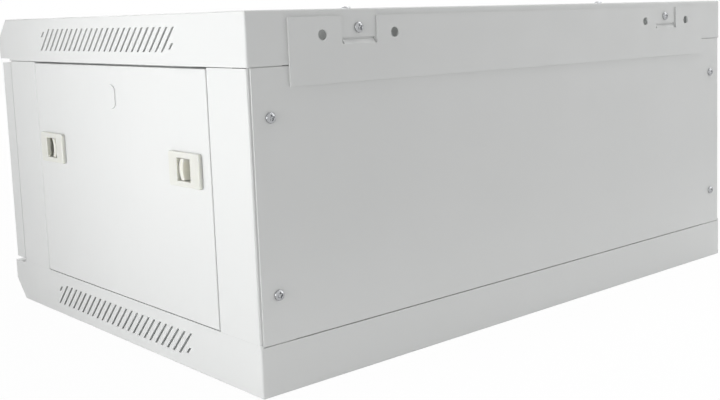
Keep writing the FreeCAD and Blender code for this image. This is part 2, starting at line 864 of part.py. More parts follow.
def rack_rails():
    piece = Piece("rack_rail_right")
    outer = rack_side
    profile = [
        (rack_inner, rack_face),
        (outer, rack_face),
        (outer, rack_face + s.rack_depth),
        (outer - s.rack_thick, rack_face + s.rack_depth),
        (outer - s.rack_thick, rack_face + s.rack_thick),
        (rack_inner, rack_face + s.rack_thick),
    ]
    piece.pad("Z", rack_low, rack_high, polygon(*profile))
    # three square holes per unit, in the standard spacing
    start = s.height / 2 - s.unit * s.units / 2 + s.hole_first
    half = s.square / 2
    left = rack_hole_x - half
    right = rack_hole_x + half
    holes = []
    for step in range(3):
        z = start + s.hole_step * step
        holes.append(rectangle(left, right, z - half, z + half))
    cut = piece.pocket("Y", rack_face - s.cut_over, rack_face + s.rack_thick + s.cut_over, both(*holes))
    piece.repeat(cut, "Z", s.unit, s.units)
    bores = [ring(clamp_y, z, s.clamp_r + s.fit) for z in bar_levels]
    piece.pocket("X", outer - s.rack_thick - s.cut_over, outer + s.cut_over, both(*bores))
    keep(piece.body)
    mirror("rack_rail_left", piece.body, (1, 0, 0))
    # clamping bolts and nuts
    nut_low = bar_inner + s.bar_thick + s.slip
    nut_high = nut_low + s.clamp_nut
    solids = []
    for z in bar_levels:
        bolt = Piece("clamp_bolt")
        head_low = outer - s.rack_thick - s.clamp_head
        bolt.pad("X", head_low, outer - s.rack_thick, ring(clamp_y, z, s.clamp_head_r))
        bolt.pad("X", outer - s.rack_thick, nut_high + s.clamp_end, ring(clamp_y, z, s.clamp_r))
        nut = Piece("clamp_nut")
        nut.pad("X", nut_low, nut_high, hexagon(clamp_y, z, s.clamp_nut_r))
        nut.pocket("X", nut_low - s.cut_over, nut_high + s.cut_over, ring(clamp_y, z, s.clamp_r + s.fit))
        solids += [bolt.body, nut.body]
    node = DOC.addObject("Part::Compound", "rack_bolts_right")
    node.Label = "rack_bolts_right"
    node.Links = solids
    keep(node)
    mirror("rack_bolts_left", node, (1, 0, 0))


def side_panel():
    piece = Piece("side_panel_right")
    back = side - s.panel_return
    piece.pad("X", back, side, rectangle(panel_front, panel_rear, panel_low, panel_high))

    def outer_fold(edge):
        return all(abs(point.Point.x - side.value) < 1e-6 for point in edge.Vertexes)

    piece.round(s.panel_skin, outer_fold)
    wall = s.panel_skin
    inside = rectangle(panel_front + wall, panel_rear - wall, panel_low + wall, panel_high - wall)
    piece.pocket("X", back - s.cut_over, side - wall, inside)
    piece.pad("X", side - wall / 2, side + s.knockout_rise, flatted(panel_mid, knockout_z, s.knockout_r))
    half_y = s.case_y + s.case_play
    half_z = s.case_z + s.case_play
    low = latch_z - half_z
    high = latch_z + half_z
    front_y = panel_mid - s.latch_from_mid
    windows = [rectangle(y - half_y, y + half_y, low, high) for y in (latch_y, front_y)]
    piece.pocket("X", side - wall - s.cut_over, side + s.cut_over, both(*windows))
    for edge in (panel_front, panel_rear - wall):
        bolt_window(piece, edge - s.cut_over, edge + wall + s.cut_over, s.slide_play * 2)
    keep(piece.body)
    mirror("side_panel_left", piece.body, (1, 0, 0))


def latch_case():
    piece = Piece("latch_case_rear_right")
    z = latch_z

    def block(half_y, half_z):
        return rectangle(latch_y - half_y, latch_y + half_y, z - half_z, z + half_z)

    front = side + s.bezel
    piece.pad("X", side, front, block(s.bezel_y, s.bezel_z))

    def rim(edge):
        return all(point.Point.x > side.value + 1e-6 for point in edge.Vertexes)

    def corner(edge):
        a, b = (point.Point for point in edge.Vertexes)
        return abs(a.x - b.x) > 1e-6

    piece.bevel(s.bezel_corner, corner)
    piece.bevel(s.bezel_bevel, rim)
    piece.pad("X", case_back, side, block(s.case_y, s.case_z))
    wall = s.case_wall
    piece.pocket("X", case_back + wall, side, block(s.case_y - wall, s.case_z - wall))
    piece.pocket("X", side - s.cut_over, front + s.cut_over, block(s.pocket_y, s.pocket_z))
    end = latch_y + s.case_y
    bolt_window(piece, end - wall - s.cut_over / 2, end + s.cut_over, s.slide_play)
    keep(piece.body)
    return piece.body


def latch_slide():
    piece = Piece("latch_slide_rear_right")
    z = latch_z
    floor = slide_back + s.slide_floor
    plate = rectangle(latch_y - s.slide_y, latch_y + s.slide_y, z - s.slide_z, z + s.slide_z)
    piece.pad("X", slide_back, floor, plate)
    # the bolt rests inside the panel return; the throw takes it into the post
    tip = panel_rear - s.bolt_short
    bolt = rectangle(bolt_back, bolt_back + s.bolt_x, z - s.bolt_z, z + s.bolt_z)
    piece.pad("Y", latch_y + s.slide_y - s.cut_over, tip, bolt)

    def tab(drawing):
        """A curved wall: the same arc twice, one tab thickness apart."""
        near = latch_y - s.tab_near
        size = s.tab_curve
        sag = size.value - (size.value ** 2 - s.slide_z.value ** 2) ** 0.5
        low = z - s.slide_z
        high = z + s.slide_z
        centres = [near + size, near + s.tab_thick + size]
        ends = [near.value + sag, near.value + s.tab_thick.value + sag]
        for centre, y in zip(centres, ends):
            drawing.addGeometry(arc((centre, z), size, (y, high), (y, low)))
        drawing.addGeometry(Part.LineSegment(spot(ends[0], low), spot(ends[1], low)))
        drawing.addGeometry(Part.LineSegment(spot(ends[1], high), spot(ends[0], high)))
        for joint in ((2, 1, 0, 2), (2, 2, 1, 2), (3, 1, 1, 1), (3, 2, 0, 1)):
            drawing.addConstraint(Sketcher.Constraint("Coincident", *joint))
        for row, centre in enumerate(centres):
            place(drawing, row, 3, centre, z)
            radius(drawing, row, size)
            for point, level in ((1, high), (2, low)):
                rule = Sketcher.Constraint("DistanceY", -1, 1, row, point, level.value)
                drawing.setExpression(f"Constraints[{drawing.addConstraint(rule)}]", level.text)

    piece.pad("X", floor - s.slide_play, side + s.bezel - s.tab_sink, tab)
    keep(piece.body)
    return piece.body


def latches():
    """The rear right latch is drawn; the others are its mirror images."""
    for kind, source in (("case", latch_case()), ("slide", latch_slide())):
        front = mirror(f"latch_{kind}_front_right", source, (0, 1, 0), panel_mid)
        mirror(f"latch_{kind}_rear_left", source, (1, 0, 0))
        mirror(f"latch_{kind}_front_left", front, (1, 0, 0))


def door_frame():
    piece = Piece("door_frame")
    piece.pad("Y", door_front, door_back, rectangle(-door_side, door_side, door_low, door_high))

    def front_fold(edge):
        return all(abs(point.Point.y - door_front.value) < 1e-6 for point in edge.Vertexes)

    piece.round(s.door_bend, front_fold)
    wall = s.skin
    room_x = door_side - wall
    room = rectangle(-room_x, room_x, door_low + wall, door_high - wall)
    piece.pocket("Y", door_front + wall, door_back - wall, room)
    gap_x = room_x - s.door_return
    gap = rectangle(-gap_x, gap_x, door_low + wall + s.door_return, door_high - wall - s.door_return)
    piece.pocket("Y", door_back - wall - s.cut_over, door_back + s.cut_over, gap)
    window = rectangle(-window_x, window_x, window_low, window_high)
    lock_hole = ring(lock_x, lock_z, s.barrel_r + s.fit)
    piece.pocket("Y", door_front - s.cut_over, door_front + wall + s.cut_over, both(window, lock_hole))

    def window_corner(edge):
        if len(edge.Vertexes) != 2:
            return False
        a, b = (point.Point for point in edge.Vertexes)
        near = abs(abs(a.x) - window_x.value) < 1e-6
        return near and abs(a.x - b.x) + abs(a.z - b.z) < 1e-6

    piece.round(s.window_r, window_corner)
    pin = circle(hinge_x, hinge_y, pin_bore)
    piece.pocket("Z", door_low - s.cut_over, door_low + wall + s.cut_over, pin)
    piece.pocket("Z", door_high - wall - s.cut_over, door_high + s.cut_over, pin)
    keep(piece.body)


def door_pane():
    lap = s.pane_lap
    pane = rectangle(-(window_x + lap), window_x + lap, window_low - lap, window_high + lap)
    glass = Piece("door_glass")
    glass.pad("Y", glass_front, glass_back, pane)
    keep(glass.body)
    seal = Piece("glass_seal")
    seal.pad("Y", glass_front - s.seal, glass_front, pane)
    inset = s.seal_inset
    opening = rectangle(-(window_x + inset), window_x + inset, window_low - inset, window_high + inset)
    seal.pocket("Y", glass_front - s.seal - s.cut_over, glass_front + s.cut_over, opening)
    keep(seal.body)
    # clips: a foot on the frame, a riser past the edge of the pane, an arm over its back
    edge = window_high + lap + s.fit
    start = door_front + s.skin
    arm = glass_back + s.slip
    clip = [
        (start, edge),
        (start, edge + s.clip_foot),
        (start + s.skin, edge + s.clip_foot),
        (start + s.skin, edge + s.skin),
        (arm + s.skin, edge + s.skin),
        (arm + s.skin, edge - s.clip_arm),
        (arm, edge - s.clip_arm),
        (arm, edge),
    ]
    bodies = []
    for x in (-s.clip_x, as_size(0), s.clip_x):
        for points in (clip, [(y, s.height - z) for y, z in clip]):
            part = Piece("clip")
            part.pad("X", x - s.clip_width / 2, x + s.clip_width / 2, polygon(*points))
            bodies.append(part.body)
    node = DOC.addObject("Part::Compound", "glass_clips")
    node.Label = "glass_clips"
    node.Links = bodies
    keep(node)


def lock():
    x = lock_x
    barrel = Piece("lock_barrel")
    barrel.pad("Y", door_front - s.lock_flange, door_front, circle(x, lock_z, s.lock_flange_r))
    barrel.pad("Y", door_front, barrel_end, ring(x, lock_z, s.barrel_r))
    bore = circle(x, lock_z, s.plug_r + s.fit)
    barrel.pocket("Y", door_front - s.lock_flange - s.cut_over, barrel_end + s.cut_over, bore)
    keep(barrel.body)
    nut = Piece("lock_nut")
    low = door_front + s.skin
    nut.pad("Y", low, low + s.lock_nut, hexagon(x, lock_z, s.lock_nut_r))
    nut.pocket("Y", low - s.cut_over, low + s.lock_nut + s.cut_over, ring(x, lock_z, s.barrel_r + s.fit))
    keep(nut.body)
    plug = Piece("lock_plug")
    face = door_front - s.lock_flange - s.plug_front
    plug.pad("Y", face, cam_front, circle(x, lock_z, s.plug_r))
    half = s.key_width / 2
    tall = s.key_height / 2
    key = rectangle(x - half, x + half, lock_z - tall, lock_z + tall)
    plug.pocket("Y", face - s.cut_over, face + s.key_depth, key)
    keep(plug.body)
    cam = Piece("lock_cam")
    arm = slot(x, lock_z, x, lock_z - s.cam_reach, s.cam_r)
    cam.pad("Y", cam_front, cam_front + s.cam, arm)
    keep(cam.body)
    screw = Piece("cam_screw")
    screw.pad("Y", cam_front + s.cam, cam_front + s.cam + s.cam_screw, hexagon(x, lock_z, s.cam_screw_r))
    keep(screw.body)


def hinges():
    pin = Piece("lower_hinge_pin")
    seat = s.fascia_height
    washer_high = door_low - s.slip
    pin.pad("Z", seat - s.pin_root, washer_high + s.pin_up, circle(hinge_x, hinge_y, s.pin_r))
    keep(pin.body)
    washer = Piece("hinge_washer")
    washer.pad("Z", seat, washer_high, ring(hinge_x, hinge_y, s.washer_r))
    # the flats of a twelve-sided bore stay clear of the pin
    loose = pin_bore / math.cos(math.pi / 12)
    washer.pocket("Z", seat - s.cut_over, washer_high + s.cut_over, ring(hinge_x, hinge_y, loose))
    keep(washer.body)
    sleeve = Piece("hinge_sleeve")
    top = door_high - s.skin
    low = top - s.sleeve_length
    sleeve.pad("Z", low, top, ring(hinge_x, hinge_y, s.sleeve_r))
    sleeve.pocket("Z", low - s.cut_over, top + s.cut_over, ring(hinge_x, hinge_y, loose))
    keep(sleeve.body)
    release = Piece("hinge_release_pin")
    bottom = low - s.pin_tail
    roof_face = s.height - s.fascia_height
    release.pad("Z", bottom, roof_face + s.pin_tip, circle(hinge_x, hinge_y, s.pin_r))
    grip = ring(hinge_y, bottom + s.handle_r, s.handle_r)
    release.pad("X", hinge_x, hinge_x + s.handle_length, grip)
    keep(release.body)


def earth():
    solids = []
    x = earth_x
    y = earth_y
    bore = ring(x, y, s.earth_r + s.fit)
    stud = Piece("stud")
    stud.pad("Z", s.fit, s.skin + s.earth_height, ring(x, y, s.earth_r))
    solids.append(stud.body)
    level = s.skin
    washer = Piece("washer")
    washer.pad("Z", level, level + s.earth_washer, ring(x, y, s.earth_washer_r))
    washer.pocket("Z", level - s.cut_over, level + s.earth_washer + s.cut_over, bore)
    solids.append(washer.body)
    level = level + s.earth_washer
    nut = Piece("nut")
    nut.pad("Z", level, level + s.earth_nut, hexagon(x, y, s.earth_nut_r))
    nut.pocket("Z", level - s.cut_over, level + s.earth_nut + s.cut_over, bore)
    solids.append(nut.body)
    node = DOC.addObject("Part::Compound", "earth_stud")
    node.Label = "earth_stud"
    node.Links = solids
    keep(node)


def check_and_write():
    DOC.recompute()
    for thing in DOC.Objects:
        if "Invalid" in thing.State or "Error" in thing.State:
            raise RuntimeError(f"{thing.Label} doesn't compute: {thing.State}")
    os.makedirs("parts", exist_ok=True)
    for node in NODES:
        shape = node.Shape
        if shape.isNull() or not shape.isValid() or shape.Volume < 1e-3:
            raise RuntimeError(f"{node.Label} has no valid solid")
        shape.exportStep(f"parts/{node.Label}.step")
    print(len(NODES), "nodes written")


roof()
base()
front_post()
rear_post()
back_panel()
wall_rail()
covers()
screws()
depth_bars()
rack_rails()
side_panel()
latches()
door_frame()
door_pane()
lock()
hinges()
earth()
check_and_write()
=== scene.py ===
import json
import math

import bmesh
import bpy
import numpy as np
from mathutils import Matrix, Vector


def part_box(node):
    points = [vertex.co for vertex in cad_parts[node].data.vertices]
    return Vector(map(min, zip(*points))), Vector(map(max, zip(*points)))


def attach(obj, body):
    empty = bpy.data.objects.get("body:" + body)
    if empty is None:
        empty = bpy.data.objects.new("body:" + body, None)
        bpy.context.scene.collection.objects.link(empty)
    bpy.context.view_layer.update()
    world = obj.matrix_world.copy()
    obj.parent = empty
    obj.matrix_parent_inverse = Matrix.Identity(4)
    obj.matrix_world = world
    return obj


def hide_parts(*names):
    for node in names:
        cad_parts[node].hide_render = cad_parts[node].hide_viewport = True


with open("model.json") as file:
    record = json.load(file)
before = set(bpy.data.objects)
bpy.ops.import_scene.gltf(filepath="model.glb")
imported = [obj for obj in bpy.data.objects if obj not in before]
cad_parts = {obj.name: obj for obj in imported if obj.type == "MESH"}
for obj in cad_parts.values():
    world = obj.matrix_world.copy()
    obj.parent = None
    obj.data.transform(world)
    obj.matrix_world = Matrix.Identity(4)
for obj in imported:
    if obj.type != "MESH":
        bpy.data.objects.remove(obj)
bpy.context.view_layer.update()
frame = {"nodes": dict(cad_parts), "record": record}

# Looks of the rack cabinet. Places and sizes of pieces and widths of broken edges are written in
# millimetres, and MM turns them into metres. Textures, merge distances, lamps and the floor are written
# in metres.
MM = 0.001
nodes = frame["nodes"]
subparts = frame["record"]["subparts"]
scene = bpy.context.scene

# sheet metal
REAR = 222.5
HEIGHT = 280.0
SHEET = 1.2
DOOR_FRONT = -220.5

# screws of the back panel, the hooks and the cable covers
BACK_SCREWS = [(282.5, 74.5), (-282.5, 74.5), (282.5, 203.7), (-282.5, 203.7)]
HOOK_SCREWS = [(199.5, 265.6), (-199.5, 265.6)]
COVER_SCREWS = [(165.0, 163.5), (-165.0, 163.5)]
SCREW_HEAD_R = 4.1  # as in the photograph; the solid's head is 0.8 wider all round
SCREW_HEAD = 2.4
SCREW_R = 2.4
SCREW_LONG = 9.0
SCREW_PITCH = 0.8
END_PLAY = 0.06

# bolts, nuts and pins of 6 mm
BOLT_R = 3.0
BOLT_BORE = 3.06
BOLT_PITCH = 1.0
NUT_HIGH = 5.0

# clamping bolts of the rack rails
CLAMP_Y = -127.0
CLAMP_LEVELS = (57.0, 223.0)
CLAMP_HEAD_X = 250.0
CLAMP_NUT_X = 253.7
CLAMP_HEAD_R = 5.0
CLAMP_HEAD = 3.0
CLAMP_LONG = 10.7
CLAMP_NUT_FLAT = 4.76
CROSS_TURN = 0.4

# earth stud
EARTH = (-240.0, 187.5)
EARTH_TOP = 21.2
EARTH_NUT_FLAT = 4.85
EARTH_WASHER_R = 7.0
EARTH_WASHER = 1.6
EARTH_WASHER_BORE = 3.1

# door lock
LOCK = (256.0, 140.0)
LOCK_BORE = 5.46
LOCK_FLANGE_R = 11.0
LOCK_FLANGE = 2.5
BARREL_R = 8.0
BARREL_LONG = 26.0
BARREL_PITCH = 1.25
BORE_START = 21.0  # level in the bore where its closed profile starts and ends
LOCK_NUT_FLAT = 10.39
LOCK_NUT_BORE = 8.06
CAM_SCREW_FLAT = 3.46

# door hinge
HINGE = (-293.0, -211.5)
WASHER_R = 6.0
SLEEVE_R = 4.5
TUBE_RIM = 0.4

# columns of turned and of hexagon pieces, and the angle up to which their faces are shaded as one
ROUND = 72
HEXAGON = 96
SMOOTH_TO = 35.0

# width of the broken edges on the solids that show, by finish
EDGE_BREAK = {
    "paint": 0.22,
    "latch_plastic": 0.25,
    "slide_plastic": 0.25,
    "zinc": 0.15,
    "steel": 0.12,
    "nickel": 0.12,
    "rubber": 0.2,
    "glass": 0.4,
}


# shared effects

NOISE_LOW = 0.3
NOISE_HIGH = 0.7


def feed(tree, value, socket):
    """Links a socket to another one, or sets it to a plain value."""
    if isinstance(value, bpy.types.NodeSocket):
        tree.links.new(value, socket)
    else:
        socket.default_value = value


def node(tree, kind, **settings):
    """Adds a node; each setting goes to the socket of that name, or else to the property of that name."""
    made = tree.nodes.new(f"ShaderNode{kind}")
    for name, value in settings.items():
        socket = made.inputs.get(name.replace("_", " "))
        if socket is None:
            setattr(made, name, value)
        else:
            feed(tree, value, socket)
    return made


def maths(tree, operation, first, second):
    """The result of one Math node."""
    made = node(tree, "Math", operation=operation)
    feed(tree, first, made.inputs[0])
    feed(tree, second, made.inputs[1])
    return made.outputs[0]


def spread(tree, value, low, high):
    """Carries noise, which lies near a half, to the range from low to high."""
    bounds = {"From_Min": NOISE_LOW, "From_Max": NOISE_HIGH, "To_Min": low, "To_Max": high}
    return node(tree, "MapRange", Value=value, **bounds).outputs["Result"]


def noise(tree, place, scale, detail):
    """Noise with the given number of spots to the metre."""
    return node(tree, "TexNoise", Vector=place, Scale=scale, Detail=detail).outputs["Fac"]


def effect(name, scale, outputs):
    """An empty shader node group with a Scale input and the named outputs, and its Object coordinates."""
    tree = bpy.data.node_groups.new(name, "ShaderNodeTree")
    socket = tree.interface.new_socket("Scale", in_out="INPUT", socket_type="NodeSocketFloat")
    socket.default_value = scale
    for label in outputs:
        tree.interface.new_socket(label, in_out="OUTPUT", socket_type="NodeSocketFloat")
    enter = tree.nodes.new("NodeGroupInput").outputs["Scale"]
    leave = tree.nodes.new("NodeGroupOutput").inputs
    return tree, enter, leave, node(tree, "TexCoord").outputs["Object"]


def fine_grain():
    """Skin of a powder coat or a moulded face: two sizes of bumps, and a slow drift of tone."""
    finer = 2.7
    fine_share = 0.4
    drift_scale = 7.0
    tree, scale, leave, place = effect("fine grain", 900.0, ("Height", "Tone"))
    coarse = noise(tree, place, scale, detail=1.5)
    fine = noise(tree, place, maths(tree, "MULTIPLY", scale, finer), detail=1.0)
    height = maths(tree, "ADD", coarse, maths(tree, "MULTIPLY", fine, fine_share))
    tree.links.new(height, leave["Height"])
    tree.links.new(noise(tree, place, drift_scale, detail=3.0), leave["Tone"])
    return tree


def handling():
    """Faint wipe and finger marks: soft patches and thin long streaks, from zero to one."""
    streak_stretch = (1.0, 1.0, 0.12)
    streak_lean = (0.0, 0.35, 0.2)
    thinner = 9.0
    patch_share = 0.65
    streak_share = 0.35
    tree, scale, leave, place = effect("handling marks", 26.0, ("Marks",))
    patches = noise(tree, place, scale, detail=4.0)
    stretched = node(tree, "Mapping", Vector=place, Scale=streak_stretch, Rotation=streak_lean)
    streak_scale = maths(tree, "MULTIPLY", scale, thinner)
    streaks = noise(tree, stretched.outputs["Vector"], streak_scale, detail=3.0)
    patches = maths(tree, "MULTIPLY", patches, patch_share)
    streaks = maths(tree, "MULTIPLY", streaks, streak_share)
    marks = maths(tree, "ADD", patches, streaks)
    tree.links.new(spread(tree, marks, 0.0, 1.0), leave["Marks"])
    return tree


def drawn_metal():
    """Rolled or drawn metal: hair lines along Z, and cloudy patches of the plating."""
    line_stretch = (1.0, 1.0, 0.02)
    cloud_share = 0.05
    tree, scale, leave, place = effect("drawn metal", 1400.0, ("Lines", "Clouds"))
    stretched = node(tree, "Mapping", Vector=place, Scale=line_stretch)
    tree.links.new(noise(tree, stretched.outputs["Vector"], scale, detail=2.0), leave["Lines"])
    clouds = noise(tree, place, maths(tree, "MULTIPLY", scale, cloud_share), detail=3.0)
    tree.links.new(clouds, leave["Clouds"])
    return tree


GRAIN = fine_grain()
MARKS = handling()
DRAWN = drawn_metal()


# materials

COAT_MARK_SCALE = 26.0
PANE_MARK_SCALE = 12.0
LINE_DEPTH = 0.00005
TRANSLUCENT = {"Subsurface_Weight": 1.0, "Subsurface_Radius": (1.0, 1.0, 0.9), "Subsurface_Scale": 0.005}


def placed(tree, group, scale):
    """The outputs of a shared effect at this material's own scale."""
    made = node(tree, "Group", node_tree=group)
    made.inputs["Scale"].default_value = scale
    return made.outputs


def shade(tree, factor, low, high):
    """A colour between two close tones."""
    made = node(tree, "Mix", data_type="RGBA", Factor=factor)
    first, second = (socket for socket in made.inputs if socket.type == "RGBA")
    first.default_value = (*low, 1.0)
    second.default_value = (*high, 1.0)
    return next(socket for socket in made.outputs if socket.type == "RGBA")


def finish(name, **constants):
    """A material with one Principled shader; constants go straight to its sockets."""
    made = bpy.data.materials.new(name)
    made.use_nodes = True
    shader = made.node_tree.nodes["Principled BSDF"]
    for label, value in constants.items():
        shader.inputs[label.replace("_", " ")].default_value = value
    return made, made.node_tree, shader


def bump(tree, shader, height, strength, distance):
    """Turns a height into the shader's normal."""
    made = node(tree, "Bump", Strength=strength, Distance=distance, Height=height)
    tree.links.new(made.outputs["Normal"], shader.inputs["Normal"])


def coated(name, low, high, grain, rough, strength, depth, **constants):
    """Powder coat, plastic or rubber: grain in the normal, drift in the colour, marks in the gloss."""
    made, tree, shader = finish(name, **constants)
    skin = placed(tree, GRAIN, grain)
    marks = placed(tree, MARKS, COAT_MARK_SCALE)
    tree.links.new(shade(tree, skin["Tone"], low, high), shader.inputs["Base Color"])
    tree.links.new(spread(tree, marks["Marks"], *rough), shader.inputs["Roughness"])
    bump(tree, shader, skin["Height"], strength, depth)
    return made


def plated(name, low, high, lines, rough, strength):
    """Plated or bare metal: hair lines in the normal and the gloss, clouds in the colour."""
    made, tree, shader = finish(name, Metallic=1.0)
    metal = placed(tree, DRAWN, lines)
    tree.links.new(shade(tree, metal["Clouds"], low, high), shader.inputs["Base Color"])
    tree.links.new(spread(tree, metal["Lines"], *rough), shader.inputs["Roughness"])
    bump(tree, shader, metal["Lines"], strength, LINE_DEPTH)
    return made


def clear_pane(name, low, high, rough):
    """Toughened glass: clear, a little green, with faint wipe marks in its colour and gloss."""
    made, tree, shader = finish(name, Transmission_Weight=1.0, IOR=1.5)
    marks = placed(tree, MARKS, PANE_MARK_SCALE)
    tree.links.new(shade(tree, marks["Marks"], low, high), shader.inputs["Base Color"])
    tree.links.new(spread(tree, marks["Marks"], *rough), shader.inputs["Roughness"])
    return made


FINISHES = {
    "paint": coated(
        "light grey powder coat",
        low=(0.655, 0.665, 0.660),
        high=(0.685, 0.692, 0.686),
        grain=950.0,
        rough=(0.44, 0.52),
        strength=0.10,
        depth=0.0002,
    ),
    "latch_plastic": coated(
        "off-white latch plastic",
        low=(0.640, 0.644, 0.603),
        high=(0.670, 0.673, 0.633),
        grain=1500.0,
        rough=(0.36, 0.46),
        strength=0.08,
        depth=0.0001,
        **TRANSLUCENT,
    ),
    "slide_plastic": coated(
        "cream slide plastic",
        low=(0.700, 0.692, 0.622),
        high=(0.730, 0.723, 0.655),
        grain=1500.0,
        rough=(0.38, 0.48),
        strength=0.08,
        depth=0.0001,
        **TRANSLUCENT,
    ),
    "nylon": coated(
        "white nylon",
        low=(0.76, 0.76, 0.73),
        high=(0.80, 0.80, 0.77),
        grain=1200.0,
        rough=(0.34, 0.42),
        strength=0.06,
        depth=0.0001,
    ),
    "rubber": coated(
        "black rubber",
        low=(0.018, 0.018, 0.019),
        high=(0.028, 0.028, 0.029),
        grain=700.0,
        rough=(0.58, 0.72),
        strength=0.20,
        depth=0.0002,
    ),
    "zinc": plated(
        "bright zinc plate",
        low=(0.58, 0.60, 0.62),
        high=(0.68, 0.69, 0.69),
        lines=900.0,
        rough=(0.30, 0.44),
        strength=0.12,
    ),
    "steel": plated(
        "plated screw steel",
        low=(0.38, 0.39, 0.405),
        high=(0.45, 0.455, 0.46),
        lines=1600.0,
        rough=(0.22, 0.34),
        strength=0.08,
    ),
    "nickel": plated(
        "satin nickel",
        low=(0.66, 0.64, 0.60),
        high=(0.74, 0.72, 0.68),
        lines=2000.0,
        rough=(0.18, 0.28),
        strength=0.06,
    ),
    "brass": plated(
        "earth stud brass",
        low=(0.66, 0.48, 0.20),
        high=(0.74, 0.55, 0.25),
        lines=1600.0,
        rough=(0.22, 0.34),
        strength=0.08,
    ),
    "glass": clear_pane(
        "clear pane",
        low=(0.86, 0.93, 0.90),
        high=(0.90, 0.95, 0.93),
        rough=(0.0, 0.035),
    ),
}

for row in subparts:
    coat = nodes[row["node"]].data.materials
    coat.clear()
    coat.append(FINISHES[row["material_slot"]])


# turned and threaded shapes

def wrap(rows, columns):
    """Quads of a grid whose last column meets the first."""
    row = np.arange(rows - 1)[:, None] * columns
    left = np.arange(columns)[None, :]
    right = (left + 1) % columns
    corners = (row + left, row + right, row + columns + right, row + columns + left)
    return np.stack(np.broadcast_arrays(*corners), -1).reshape(-1, 4)


def turns(columns):
    """The angle of each column, once round."""
    return np.linspace(0.0, 2.0 * math.pi, columns, endpoint=False)[None, :]


def turned(radius, height):
    """Points round the Z axis at radius and height, two arrays of rows by columns: x = r cos t,
    y = r sin t, z = height."""
    turn = turns(radius.shape[1])
    points = np.stack([radius * np.cos(turn), radius * np.sin(turn), height], -1)
    return points.reshape(-1, 3), wrap(*radius.shape)


def profile(pairs, columns=ROUND):
    """Radius and height as two arrays, a row for each pair; a value is one number or one per column."""
    radii, heights = zip(*pairs)
    radius = np.concatenate([np.broadcast_to(value, (1, columns)) for value in radii])
    height = np.concatenate([np.broadcast_to(value, (1, columns)) for value in heights])
    return radius, height


def stacked(*parts):
    """Several pairs of radius and height arrays, one after the other."""
    return [np.concatenate(part) for part in zip(*parts)]


def ease(value):
    """Smooth step from zero to one: v v (3 - 2 v)."""
    value = np.clip(value, 0.0, 1.0)
    return value * value * (3.0 - 2.0 * value)


def thread(radius, low, high, pitch):
    """A threaded shank: its radius falls and rises by 0.3 pitch along a helix that fades at both ends."""
    depth = 0.3 * pitch
    rows_per_pitch = 5
    fewest_rows = 8
    rows = max(fewest_rows, int((high - low) / pitch * rows_per_pitch))
    level = np.linspace(low, high, rows)[:, None]
    turn = np.linspace(0.0, 1.0, ROUND, endpoint=False)[None, :]
    tooth = np.abs(2.0 * ((level / pitch - turn) % 1.0) - 1.0)
    fade = ease((level - low) / pitch) * ease((high - level) / pitch)
    return radius - depth * tooth * fade, np.repeat(level, ROUND, 1)


def cross_recess(radius, head_r):
    """Depth of a cross recess at each radius and turn, one at the middle. Two arms cross, with eased side
    and end walls; the half width of an arm falls from 1.15 to 0.75 of width on its way from the middle
    to its reach, and its floor rises by 0.55 of the depth."""
    turn = turns(ROUND)
    x = np.abs(radius * np.cos(turn))
    y = np.abs(radius * np.sin(turn))
    reach = 0.60 * head_r
    width = 0.20 * head_r
    side_wall = 0.09 * head_r
    end_wall = 0.12 * head_r
    arms = []
    for along, across in ((x, y), (y, x)):
        tapered = width * (1.15 - 0.4 * along / reach)
        side = ease((tapered - across) / side_wall + 0.5)
        end = ease((reach - along) / end_wall)
        arms.append(side * end)
    floor_level = 1.0 - 0.55 * np.clip(radius / reach, 0.0, 1.0)
    return np.maximum(*arms) * floor_level


def pan_screw(head_r, head, shank_r, length, pitch):
    """A pan-head screw, seat at height 0: threaded shank, flat seat, round rim, dome with a cross recess.
    The dome's height is head (0.30 + 0.70 sqrt(1 - (r / R)^2.2)), less 0.85 head times the recess."""
    tip = profile([(0.0, -length), (0.55 * shank_r, -length), (0.8 * shank_r, -length + 0.3)])
    shank = thread(shank_r, -length + 0.5, -0.3, pitch)
    rim = [(0.94 * head_r, 0.0), (0.985 * head_r, 0.05 * head), (head_r, 0.16 * head)]
    seat = profile([(shank_r, 0.0), *rim])
    rings = 34
    share = np.linspace(1.0, 0.0, rings)[:, None] * np.ones((1, ROUND))
    dome = head * (0.30 + 0.70 * np.sqrt(np.clip(1.0 - share ** 2.2, 0.0, 1.0)))
    top = dome - 0.85 * head * cross_recess(share * head_r, head_r)
    return turned(*stacked(tip, shank, seat, (share * head_r, top)))


def hex_edge(flat):
    """Radius of a hexagon, flat / cos of the angle from the middle of a side, and the drop of the
    30 degree cone that cuts its corners, (r - flat) tan 30."""
    angle = turns(HEXAGON) % (math.pi / 3.0) - math.pi / 6.0
    edge = flat / np.cos(angle)
    return edge, (edge - flat) * math.tan(math.pi / 6.0)


def hex_nut(flat, bore, thick):
    """A hexagon nut from height 0, its corners cut by a cone on both faces, its bore countersunk."""
    edge, drop = hex_edge(flat)
    lead = 0.08 * flat
    face = 0.97 * flat
    pairs = [
        (bore, lead),
        (bore, thick - lead),
        (bore + lead, thick),
        (face, thick),
        (edge, thick - drop),
        (edge, drop),
        (face, 0.0),
        (bore + lead, 0.0),
        (bore, lead),
    ]
    return turned(*profile(pairs, HEXAGON))


def hex_head(flat, thick):
    """The head of a hexagon screw from height 0, its corners cut by a cone on its outer face."""
    edge, drop = hex_edge(flat)
    pairs = [(0.0, 0.0), (edge, 0.0), (edge, thick - drop), (0.97 * flat, thick), (0.0, thick)]
    return turned(*profile(pairs, HEXAGON))


def lathe(pairs):
    """A piece turned from a closed profile of (radius, height) pairs."""
    return turned(*profile(pairs))


